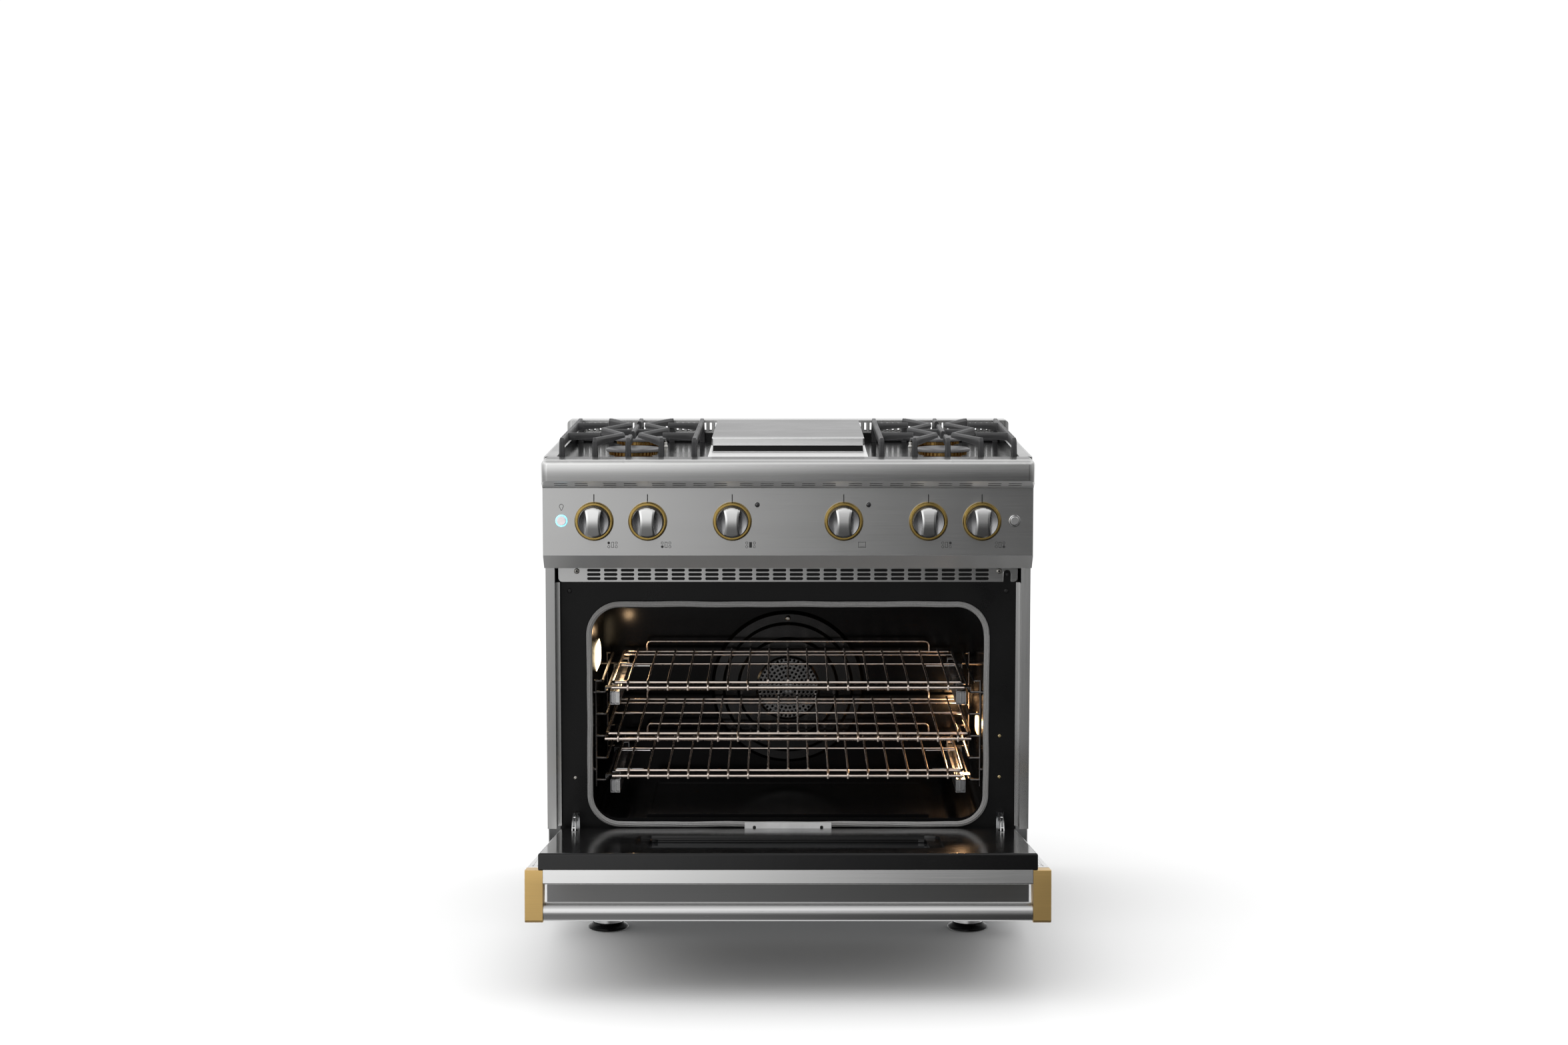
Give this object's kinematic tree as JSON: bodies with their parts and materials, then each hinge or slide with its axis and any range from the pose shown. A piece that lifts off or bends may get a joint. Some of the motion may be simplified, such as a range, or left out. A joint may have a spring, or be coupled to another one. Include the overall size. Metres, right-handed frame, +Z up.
{
  "type": "freestanding gas range",
  "caption": "Wide freestanding gas range: oven with sliding racks and a drop-down door, gold-trimmed handle and knobs, burners under cast grates, and a covered griddle.",
  "frame": {"origin": "on the floor, under the middle of the body (not counting the door)", "axes": "X to the right seen from the front, Y to the back, Z up"},
  "size_m": [0.911, 1.1199, 0.946],
  "materials": {
    "brushed_steel": "brushed stainless steel",
    "knob_steel": "satin machined steel",
    "gold": "brushed gold plate",
    "black_enamel": "gloss black porcelain enamel",
    "rack_chrome": "polished chrome wire",
    "glide_steel": "zinc-plated steel",
    "gasket": "braided glass-fibre rope",
    "cast_iron": "matt porcelain on cast iron",
    "cap_iron": "grey enamelled cap",
    "burner_brass": "cast brass",
    "griddle_steel": "brushed stainless steel",
    "window_glass": "tinted oven glass",
    "lamp_glass": "clear ribbed lamp lens",
    "lamp_black": "smoked lamp dome",
    "button_light": "lit push button",
    "button_steel": "satin push button",
    "galvanised": "galvanised sheet",
    "foot_black": "black painted foot",
    "motor": "black motor can",
    "fitting": "die-cast regulator",
    "gland": "black nylon bush",
    "screw": "plated screw",
    "hinge_steel": "hardened steel"
  },
  "bodies": {
    "body": {"side_panel_left": "brushed_steel", "side_panel_right": "brushed_steel", "rear_panel": "galvanised", "base_pan": "galvanised", "kick_panel": "brushed_steel", "leg_sleeves": "brushed_steel", "front_frame": "black_enamel", "vent_grille": "brushed_steel", "oven_cavity": "black_enamel", "cavity_floor_panel": "black_enamel", "hearth_plate": "brushed_steel", "oven_gasket": "gasket", "rack_guides": "black_enamel", "oven_light_lenses": "lamp_glass", "fan_baffle": "black_enamel", "fan_motor": "motor", "oven_burners": "glide_steel", "glide_rails": "glide_steel", "control_panel": "brushed_steel", "landing_ledge": "brushed_steel", "knob_bezels": "gold", "indicator_lamps": "lamp_black", "gas_manifold": "galvanised", "cooktop_pan": "black_enamel", "burner_bases": "burner_brass", "burner_caps": "cap_iron", "griddle_plate": "griddle_steel", "island_trim": "brushed_steel", "gas_inlet": "fitting", "power_gland": "gland", "frame_screws": "screw"},
    "door": {"door_skin": "brushed_steel", "door_liner": "black_enamel", "door_glass": "window_glass", "door_handle": "brushed_steel", "handle_brackets": "gold", "hinge_arms": "hinge_steel"},
    "light_button": {"button_light": "button_light"},
    "fan_button": {"button_fan": "button_steel"},
    "upper_rack": {"rack_upper": "rack_chrome", "glide_runners_upper": "glide_steel"},
    "middle_rack": {"rack_middle": "rack_chrome"},
    "lower_rack": {"rack_lower": "rack_chrome", "glide_runners_lower": "glide_steel"},
    "upper_cages": {"glide_cages_upper": "glide_steel"},
    "lower_cages": {"glide_cages_lower": "glide_steel"},
    "fan": {"fan_wheel": "glide_steel"},
    "left_grate": {"grate_left": "cast_iron"},
    "right_grate": {"grate_right": "cast_iron"},
    "cover": {"griddle_cover": "griddle_steel"},
    "knob_rear_left_body": {"knob_rear_left": "knob_steel"},
    "knob_front_left_body": {"knob_front_left": "knob_steel"},
    "knob_griddle_body": {"knob_griddle": "knob_steel"},
    "knob_oven_body": {"knob_oven": "knob_steel"},
    "knob_rear_right_body": {"knob_rear_right": "knob_steel"},
    "knob_front_right_body": {"knob_front_right": "knob_steel"},
    "foot_front_left_body": {"foot_front_left": "foot_black"},
    "foot_front_right_body": {"foot_front_right": "foot_black"},
    "foot_rear_left_body": {"foot_rear_left": "foot_black"},
    "foot_rear_right_body": {"foot_rear_right": "foot_black"}
  },
  "joints": [
    {"name": "door_hinge", "type": "hinge", "parent": "body", "child": "door", "pos_m": [0, -0.3, 0.1867], "axis": [1, 0, 0], "range_deg": [-82.9, 0]},
    {"name": "knob_rear_left_turn", "type": "hinge", "parent": "body", "child": "knob_rear_left_body", "pos_m": [-0.36, -0.362, 0.797], "axis": [0, -1, 0], "range_deg": [0, 270]},
    {"name": "knob_front_left_turn", "type": "hinge", "parent": "body", "child": "knob_front_left_body", "pos_m": [-0.2605, -0.362, 0.797], "axis": [0, -1, 0], "range_deg": [0, 270]},
    {"name": "knob_griddle_turn", "type": "hinge", "parent": "body", "child": "knob_griddle_body", "pos_m": [-0.1035, -0.362, 0.797], "axis": [0, -1, 0], "range_deg": [0, 270]},
    {"name": "knob_oven_turn", "type": "hinge", "parent": "body", "child": "knob_oven_body", "pos_m": [0.1035, -0.362, 0.797], "axis": [0, -1, 0], "range_deg": [0, 285]},
    {"name": "knob_rear_right_turn", "type": "hinge", "parent": "body", "child": "knob_rear_right_body", "pos_m": [0.2605, -0.362, 0.797], "axis": [0, -1, 0], "range_deg": [0, 270]},
    {"name": "knob_front_right_turn", "type": "hinge", "parent": "body", "child": "knob_front_right_body", "pos_m": [0.36, -0.362, 0.797], "axis": [0, -1, 0], "range_deg": [0, 270]},
    {"name": "light_button_press", "type": "slide", "parent": "body", "child": "light_button", "axis": [0, 1, 0], "range_m": [0, 0.0025], "stiffness_N_per_m": 300, "springref_m": -0.001},
    {"name": "fan_button_press", "type": "slide", "parent": "body", "child": "fan_button", "axis": [0, 1, 0], "range_m": [0, 0.0025], "stiffness_N_per_m": 300, "springref_m": -0.001},
    {"name": "upper_rack_slide", "type": "slide", "parent": "body", "child": "upper_rack", "axis": [0, -1, 0], "range_m": [0, 0.36]},
    {"name": "upper_cages_slide", "type": "slide", "parent": "body", "child": "upper_cages", "axis": [0, -1, 0], "range_m": [0, 0.18]},
    {"name": "middle_rack_slide", "type": "slide", "parent": "body", "child": "middle_rack", "axis": [0, -1, 0], "range_m": [0, 0.28]},
    {"name": "lower_rack_slide", "type": "slide", "parent": "body", "child": "lower_rack", "axis": [0, -1, 0], "range_m": [0, 0.36]},
    {"name": "lower_cages_slide", "type": "slide", "parent": "body", "child": "lower_cages", "axis": [0, -1, 0], "range_m": [0, 0.18]},
    {"name": "fan_spin", "type": "hinge", "parent": "body", "child": "fan", "pos_m": [0, 0.165, 0.4], "axis": [0, -1, 0], "continuous": true},
    {"name": "left_grate_lift", "type": "slide", "parent": "body", "child": "left_grate", "axis": [0, 0, 1], "range_m": [0, 0.08]},
    {"name": "right_grate_lift", "type": "slide", "parent": "body", "child": "right_grate", "axis": [0, 0, 1], "range_m": [0, 0.08]},
    {"name": "cover_lift", "type": "slide", "parent": "body", "child": "cover", "axis": [0, 0, 1], "range_m": [0, 0.06]},
    {"name": "foot_front_left_turn", "type": "hinge", "parent": "body", "child": "foot_front_left_body", "pos_m": [-0.345, -0.249, 0], "axis": [0, 0, 1], "continuous": true},
    {"name": "foot_front_right_turn", "type": "hinge", "parent": "body", "child": "foot_front_right_body", "pos_m": [0.345, -0.249, 0], "axis": [0, 0, 1], "continuous": true},
    {"name": "foot_rear_left_turn", "type": "hinge", "parent": "body", "child": "foot_rear_left_body", "pos_m": [-0.345, 0.249, 0], "axis": [0, 0, 1], "continuous": true},
    {"name": "foot_rear_right_turn", "type": "hinge", "parent": "body", "child": "foot_rear_right_body", "pos_m": [0.345, 0.249, 0], "axis": [0, 0, 1], "continuous": true}
  ],
  "couplings": [
    {"joint": "upper_cages_slide", "follows": "upper_rack_slide", "ratio": 0.5},
    {"joint": "lower_cages_slide", "follows": "lower_rack_slide", "ratio": 0.5}
  ]
}
